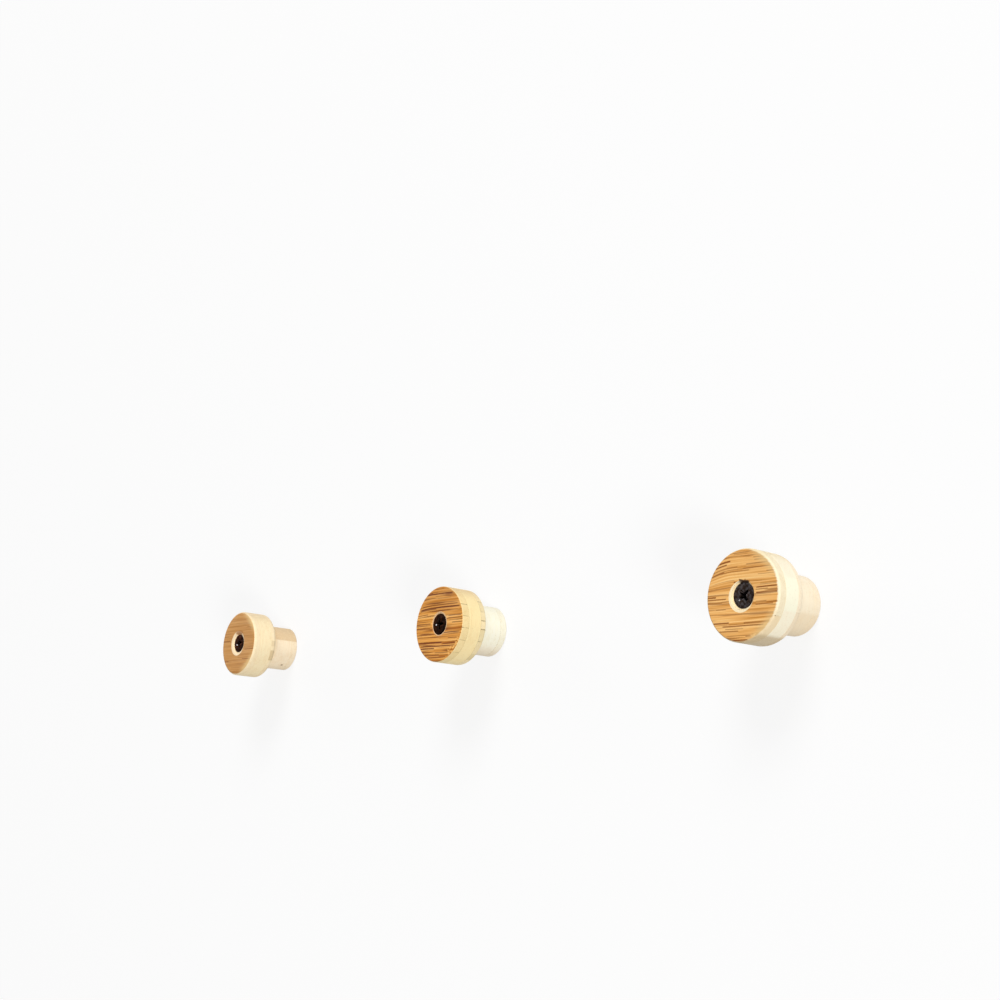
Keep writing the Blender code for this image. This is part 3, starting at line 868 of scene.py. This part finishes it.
def corner(radius, y, rounding, sign):
    """Points round an outer edge, with a support point on each side. The sign is -1 in front and 1 behind."""
    points = [(radius - rounding - SUPPORT, y)]
    for step in range(EDGE_STEPS + 1):
        turn = math.radians(90.0 * step / EDGE_STEPS)
        points.append((
            radius - rounding * (1.0 - math.sin(turn)),
            y - sign * rounding * (1.0 - math.cos(turn)),
        ))
    points.append((radius, y - sign * (rounding + SUPPORT)))
    return points if sign < 0.0 else points[::-1]


def fray(look, angle):
    """How far torn fibres reach into the hole at an angle in degrees."""
    reach = 0.0
    for place, length in look["fray"]:
        away = abs((angle - place + 180.0) % 360.0 - 180.0)
        reach = max(reach, length * (1.0 - away / FRAY_WIDTH))
    return reach


def add_object(name, data):
    """A new object in the scene."""
    made = bpy.data.objects.new(name, data)
    bpy.context.scene.collection.objects.link(made)
    return made


def to_object(name, work):
    """Turn a bmesh into an object in the scene."""
    mesh = bpy.data.meshes.new(name)
    work.to_mesh(mesh)
    work.free()
    return add_object(name, mesh)


def to_solid(name, work):
    """Turn a closed bmesh into an object, with all faces pointing out."""
    bmesh.ops.recalc_face_normals(work, faces=work.faces)
    return to_object(name, work)


def smooth(obj, angle):
    """Shade an object smooth, apart from edges sharper than an angle in degrees."""
    obj.data.shade_smooth()
    obj.data.set_sharp_from_angle(angle=math.radians(angle))


def skin(work, rings, count):
    """Join each ring to the next, and the last to the first, by count faces. Gives (index, face) for each."""
    made = []
    for step, ring in enumerate(rings):
        following = rings[(step + 1) % len(rings)]
        for i in range(count):
            j = (i + 1) % len(ring)
            made.append((i, work.faces.new((ring[i], ring[j], following[j], following[i]))))
    return made


def make_ply(peg, part, front_edge, back_edge, materials, glue_to=None):
    """One ply as a ring turned about the peg's axis, with a glue film behind it that reaches glue_to."""
    look = FACES[peg]
    axis_x, radius, front, back = ply_size(f"{peg}_{part}_ply")
    end = back if glue_to is None else glue_to
    outline = corner(radius, front, front_edge, -1.0) + corner(radius, back, back_edge, 1.0)
    film = range(0)
    if glue_to is not None:
        film = range(len(outline), len(outline) + 2)
        glue_radius = ply_size(peg + "_stem_front_ply")[1] if part == "head_back" else radius
        outline += [(glue_radius - GLUE_INSET, back), (glue_radius - GLUE_INSET, end)]
    outline += bore_outline(front, end, peg)
    lip = COUNTERBORE_RADIUS + EDGES[peg]["hole"]
    lip_end = front + worn_depth(peg) * FRAY_DEPTH

    work = bmesh.new()
    rings = []
    for step in range(PLY_STEPS):
        angle = 2.0 * math.pi * step / PLY_STEPS
        round_x, round_z = WAVES_ROUND * math.cos(angle), WAVES_ROUND * math.sin(angle)
        ring = []
        for r, y in outline:
            outer = max(0.0, (r - COUNTERBORE_RADIUS) / (radius - COUNTERBORE_RADIUS))
            bumpy = noise.noise(Vector((round_x, round_z, look["seed"] + WAVES_ALONG * y)))
            r -= UNEVEN * outer * (0.5 + 0.5 * bumpy)
            if part == "head_front" and r <= lip and y <= lip_end:
                r -= fray(look, math.degrees(angle))
            ring.append(work.verts.new((r * math.cos(angle), y, r * math.sin(angle))))
        rings.append(ring)
    for index, face in skin(work, rings, len(outline)):
        face.material_index = 1 if index in film else 0
    ply = to_solid(f"{peg}_{part}_bamboo", work)
    smooth(ply, angle=35.0)
    for material in materials:
        ply.data.materials.append(material)
    ply.location.x = axis_x
    return ply


def make_peg(peg):
    """The six plies of one peg. Each row gives a ply's part, edges, upright fibres and slot."""
    edges = EDGES[peg]
    seed = FACES[peg]["seed"]
    glue = glue_material(peg)
    rows = (
        ("head_front", edges["face"], GLUED_EDGE, False, "bamboo_face"),
        ("head_core", GLUED_EDGE, GLUED_EDGE, True, "bamboo_edge"),
        ("head_back", GLUED_EDGE, edges["back"], False, "bamboo_edge"),
        ("stem_front", GLUED_EDGE, GLUED_EDGE, False, "bamboo_stem"),
        ("stem_core", GLUED_EDGE, GLUED_EDGE, True, "bamboo_stem"),
        ("stem_back", GLUED_EDGE, WALL_EDGE, False, "bamboo_stem"),
    )
    for index, (part, front_edge, back_edge, upright, slot) in enumerate(rows):
        node = f"{peg}_{part}_ply"
        glue_to = None
        if index + 1 < len(rows):
            glue_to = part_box(f"{peg}_{rows[index + 1][0]}_ply")[0].y
        if part == "head_front":
            material = face_wood(f"{peg}_{part}", peg)
        else:
            material = pale_wood(f"{peg}_{part}", ply_look(peg, part), upright, seed + index)
        ply = make_ply(peg, part, front_edge, back_edge, (material, glue), glue_to)
        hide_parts(node)
        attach(ply, peg + "_peg")


def turned(name, outline, steps):
    """A closed solid, or a ring, turned about the Y axis from (radius, Y) points in order."""
    work = bmesh.new()
    rings = []
    for step in range(steps):
        angle = 2.0 * math.pi * step / steps
        rings.append([work.verts.new((r * math.cos(angle), y, r * math.sin(angle))) for r, y in outline])
    ring_shaped = outline[0][0] > 0.0
    skin(work, rings, len(outline) if ring_shaped else len(outline) - 1)
    bmesh.ops.remove_doubles(work, verts=work.verts, dist=MERGE)
    bmesh.ops.dissolve_degenerate(work, edges=work.edges, dist=MERGE)
    return to_solid(name, work)


def bake(obj):
    """Apply an object's modifiers."""
    bpy.context.view_layer.update()
    evaluated = obj.evaluated_get(bpy.context.evaluated_depsgraph_get())
    mesh = bpy.data.meshes.new_from_object(evaluated)
    obj.modifiers.clear()
    obj.data = mesh


def combine(obj, tool, operation):
    """Cut or join with another object, which is then removed."""
    modifier = obj.modifiers.new("Boolean", "BOOLEAN")
    modifier.operation = operation
    modifier.object = tool
    bake(obj)
    bpy.data.objects.remove(tool, do_unlink=True)


def soften(obj, width, angle):
    """Bevel an object's edges sharper than an angle in degrees, and shade it smooth."""
    bevel = obj.modifiers.new("Bevel", "BEVEL")
    bevel.width = width
    bevel.segments = 2
    bevel.limit_method = "ANGLE"
    bevel.angle_limit = math.radians(angle)
    bake(obj)
    smooth(obj, angle)


def recess_outline(scale):
    """Plan of the cross recess: four bars with a fillet in each inner corner."""
    half = RECESS_SLOT / 2.0 * (RECESS_SLOT_KEPT + (1.0 - RECESS_SLOT_KEPT) * scale)
    span = RECESS_SPAN / 2.0 * scale
    fillet = RECESS_FILLET * scale
    points = []
    for quarter in range(4):
        turn = Matrix.Rotation(math.pi / 2.0 * quarter, 2)
        bar = [(span, -half * BAR_END), (span, half * BAR_END), (span - half * BAR_CHAMFER, half)]
        for step in range(FILLET_STEPS + 1):
            angle = math.radians(-90.0 - 90.0 * step / FILLET_STEPS)
            bar.append((half + fillet + fillet * math.cos(angle), half + fillet + fillet * math.sin(angle)))
        bar.append((half, span - half * BAR_CHAMFER))
        points += [turn @ Vector(point) for point in bar]
    return points


def make_recess():
    """Tool that cuts the cross recess from Y = 0: it narrows towards its floor and ends in a point."""
    work = bmesh.new()
    layers = []
    for scale, y in ((1.0, -CUT_ABOVE_HEAD), (1.0, 0.0), (RECESS_FLOOR_SCALE, RECESS_DEPTH)):
        layers.append([work.verts.new((p.x, y, p.y)) for p in recess_outline(scale)])
    for upper, lower in zip(layers, layers[1:]):
        for i in range(len(upper)):
            j = (i + 1) % len(upper)
            work.faces.new((upper[i], upper[j], lower[j], lower[i]))
    work.faces.new(layers[0])
    tip = work.verts.new((0.0, RECESS_DEPTH + RECESS_TIP, 0.0))
    last = layers[-1]
    for i in range(len(last)):
        work.faces.new((last[i], last[(i + 1) % len(last)], tip))
    return to_solid("recess", work)


def make_thread(tip):
    """Helical thread that fades in from the shank and tapers to a point at Y = tip."""
    start = tip - THREAD_LENGTH
    turns = int(THREAD_LENGTH / THREAD_PITCH)
    work = bmesh.new()
    rows = []
    for step in range(turns * THREAD_STEPS + 1):
        angle = 2.0 * math.pi * step / THREAD_STEPS
        row = []
        for radius, share in THREAD_SHAPE:
            y = start + THREAD_PITCH * (step / THREAD_STEPS - 1.0 + share)
            fade = min(max((y - start) / THREAD_PITCH, 0.0), 1.0)
            taper = min(max((tip - y) / TIP_LENGTH, 0.0), 1.0)
            r = (THREAD_ROOT + (radius - THREAD_ROOT) * fade) * taper
            row.append(work.verts.new((r * math.cos(angle), min(y, tip), r * math.sin(angle))))
        rows.append(row)
    for row, following in zip(rows, rows[1:]):
        for i in range(len(THREAD_SHAPE) - 1):
            work.faces.new((row[i], row[i + 1], following[i + 1], following[i]))
    bmesh.ops.remove_doubles(work, verts=work.verts, dist=MERGE)
    bmesh.ops.dissolve_degenerate(work, edges=work.edges, dist=MERGE)
    rims = [edge for edge in work.edges if edge.is_boundary]
    caps = bmesh.ops.holes_fill(work, edges=rims, sides=0)["faces"]
    bmesh.ops.triangulate(work, faces=caps)
    return to_solid("thread", work)


def make_screw_mesh(head_radius, length):
    """Mesh of the screw with its head's top at Y = 0 and its tip at Y = length."""
    cone_end = SCREW_RIM + head_radius - SHANK_RADIUS
    shank_end = length - THREAD_LENGTH + SHANK_IN_THREAD
    outline = [
        (0.0, 0.0),
        (head_radius, 0.0),
        (head_radius, SCREW_RIM),
        (SHANK_RADIUS, cone_end),
        (SHANK_RADIUS, shank_end),
        (0.0, shank_end),
    ]
    screw = turned("screw_body", outline, SCREW_STEPS)
    combine(screw, make_recess(), "DIFFERENCE")
    soften(screw, width=0.0001, angle=30.0)
    combine(screw, make_thread(length), "UNION")
    smooth(screw, angle=38.0)
    return screw


def plug_outline(mouth, nose):
    """Outline of the plug: barbed outside that tapers to the nose, and a plain bore."""
    barbs_from = mouth + SLOT_FROM_MOUTH
    barbs_to = nose - PLUG_NOSE
    pitch = (barbs_to - barbs_from) / PLUG_BARBS
    points = [(PLUG_BORE, mouth), (PLUG_RADIUS, mouth)]
    for index in range(PLUG_BARBS):
        top = barbs_from + index * pitch
        points.append((PLUG_RADIUS, top))
        points.append((PLUG_RADIUS - BARB_DEPTH, top + BARB_SLOPE * pitch))
    points.append((PLUG_RADIUS, barbs_to))
    points.append((PLUG_RADIUS - PLUG_NOSE_TAPER, nose))
    points.append((PLUG_BORE, nose))
    return points


def make_box(name, low, high):
    """A box between two corners, as a tool."""
    work = bmesh.new()
    bmesh.ops.create_cube(work, size=1.0)
    size = Vector(high) - Vector(low)
    bmesh.ops.scale(work, vec=size, verts=work.verts)
    bmesh.ops.translate(work, vec=(Vector(low) + Vector(high)) / 2.0, verts=work.verts)
    return to_object(name, work)


def make_plug_mesh(half_width, mouth, nose):
    """Plug with its two fins, its spreading slot and softened edges."""
    plug = turned("plug_body", plug_outline(mouth, nose), PLUG_STEPS)
    fin_root = (PLUG_BORE + PLUG_RADIUS) / 2.0
    half_fin = FIN_THICKNESS / 2.0
    for side in (-1.0, 1.0):
        ends = sorted((side * fin_root, side * half_width))
        low = (ends[0], mouth + FIN_FROM_MOUTH, -half_fin)
        high = (ends[1], mouth + FIN_FROM_MOUTH + FIN_LENGTH, half_fin)
        combine(plug, make_box("fin", low, high), "UNION")
    low = (-SLOT_WIDTH / 2.0, mouth + SLOT_FROM_MOUTH, -SLOT_REACH)
    high = (SLOT_WIDTH / 2.0, nose - SLOT_FROM_NOSE, SLOT_REACH)
    combine(plug, make_box("slot", low, high), "DIFFERENCE")
    soften(plug, width=0.0001, angle=25.0)
    return plug


def place_fixings():
    """Screws and plugs. The three of each kind have the same shape."""
    low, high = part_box("middle_screw")
    screw = make_screw_mesh((high.x - low.x) / 2.0, high.y - low.y)
    for peg in PEGS:
        low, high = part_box(peg + "_screw")
        mesh = screw.data.copy()
        mesh.materials.clear()
        mesh.materials.append(screw_material(peg))
        made = add_object(peg + "_black_screw", mesh)
        made.location = ((low.x + high.x) / 2.0, low.y, 0.0)
        made.rotation_euler.y = -math.radians(RECESS_TURN[peg])
        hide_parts(peg + "_screw")
        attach(made, "wall_fixings")
    bpy.data.objects.remove(screw, do_unlink=True)

    low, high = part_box("middle_wall_plug")
    plug = make_plug_mesh(high.x, low.y, high.y)
    plug.data.materials.clear()
    plug.data.materials.append(plug_material())
    for peg in PEGS:
        low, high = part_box(peg + "_wall_plug")
        made = add_object(peg + "_nylon_plug", plug.data)
        made.location.x = (low.x + high.x) / 2.0
        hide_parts(peg + "_wall_plug")
        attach(made, "wall_fixings")
    bpy.data.objects.remove(plug, do_unlink=True)


def seen_rays(tree):
    """1 for the rays that show the background: camera, glossy and transmission rays."""
    path = tree.node("LightPath").outputs
    either = tree.most(path["Is Camera Ray"], path["Is Glossy Ray"])
    return tree.most(either, path["Is Transmission Ray"])


def stage_material(name, one_sided):
    """White card that keeps a soft shadow. A one-sided card can't be seen from behind."""
    tree = material_tree(name)
    tree.nodes.clear()
    output = tree.node("OutputMaterial")
    diffuse = tree.node("BsdfDiffuse", (*STAGE_WHITE, 1.0)).outputs[0]
    glow = tree.node("Emission", WHITE, 1.0).outputs[0]
    share = tree.times(seen_rays(tree), STAGE_GLOW)
    card = tree.node("MixShader", share, diffuse, glow).outputs[0]
    if one_sided:
        clear = tree.node("BsdfTransparent").outputs[0]
        behind = tree.node("NewGeometry").outputs["Backfacing"]
        card = tree.node("MixShader", behind, card, clear).outputs[0]
    tree.feed(output.inputs["Surface"], card)
    return tree.owner


def make_card(name, corners, one_sided):
    """A flat card of the stage, from its four corners, seen from the side its normal points to."""
    work = bmesh.new()
    work.faces.new([work.verts.new(place) for place in corners])
    card = to_object(name, work)
    card.data.materials.append(stage_material(name + "_white", one_sided))
    card.visible_diffuse = False
    card.visible_shadow = False


def make_stage():
    """The wall that the pegs stand on, and a floor below."""
    x, y, low, top = WALL_HALF_WIDTH, WALL_PLACE, FLOOR_HEIGHT, WALL_TOP
    make_card("wall", ((-x, y, low), (x, y, low), (x, y, top), (-x, y, top)), True)
    x = FLOOR_HALF_WIDTH
    make_card("floor", ((-x, -x, low), (x, -x, low), (x, x, low), (-x, x, low)), False)


def make_world():
    """Even light from all round, and a white background."""
    world = bpy.data.worlds.new("studio")
    bpy.context.scene.world = world
    tree = Tree(world)
    tree.nodes.clear()
    output = tree.node("OutputWorld")
    light = tree.node("Background", WHITE, WORLD_LEVEL).outputs[0]
    white = tree.node("Background", WHITE, 1.0).outputs[0]
    mix = tree.node("MixShader", seen_rays(tree), light, white).outputs[0]
    tree.feed(output.inputs["Surface"], mix)


def add_lamp(name, level, come_from, size):
    """A soft lamp that aims at the rack. The level is what it adds to a surface that faces it."""
    target = Vector((0.0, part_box("middle_head_front_ply")[0].y, 0.0))
    direction = Vector(come_from).normalized()
    data = bpy.data.lights.new(name, "AREA")
    data.shape = "DISK"
    data.size = size
    data.energy = level * (math.pi * LAMP_DISTANCE) ** 2
    lamp = add_object(name, data)
    lamp.location = target + direction * LAMP_DISTANCE
    lamp.rotation_mode = "QUATERNION"
    lamp.rotation_quaternion = direction.to_track_quat("Z", "Y")


def make_camera():
    """The camera where the photograph's stood."""
    data = bpy.data.cameras.new("camera")
    data.sensor_width = CAMERA_SENSOR
    data.lens = CAMERA_LENS
    data.clip_start = 0.01
    camera = add_object("camera", data)
    camera.matrix_world = (
        Matrix.Translation(CAMERA_PLACE)
        @ Matrix.Rotation(CAMERA_YAW, 4, "Z")
        @ Matrix.Rotation(math.pi / 2.0 + CAMERA_PITCH, 4, "X")
        @ Matrix.Rotation(CAMERA_ROLL, 4, "Z")
    )
    bpy.context.scene.camera = camera


def main():
    for peg in PEGS:
        make_peg(peg)
    place_fixings()
    make_stage()
    make_world()
    for lamp in LAMPS:
        add_lamp(*lamp)
    make_camera()
    bpy.context.scene.view_settings.view_transform = "Standard"


main()
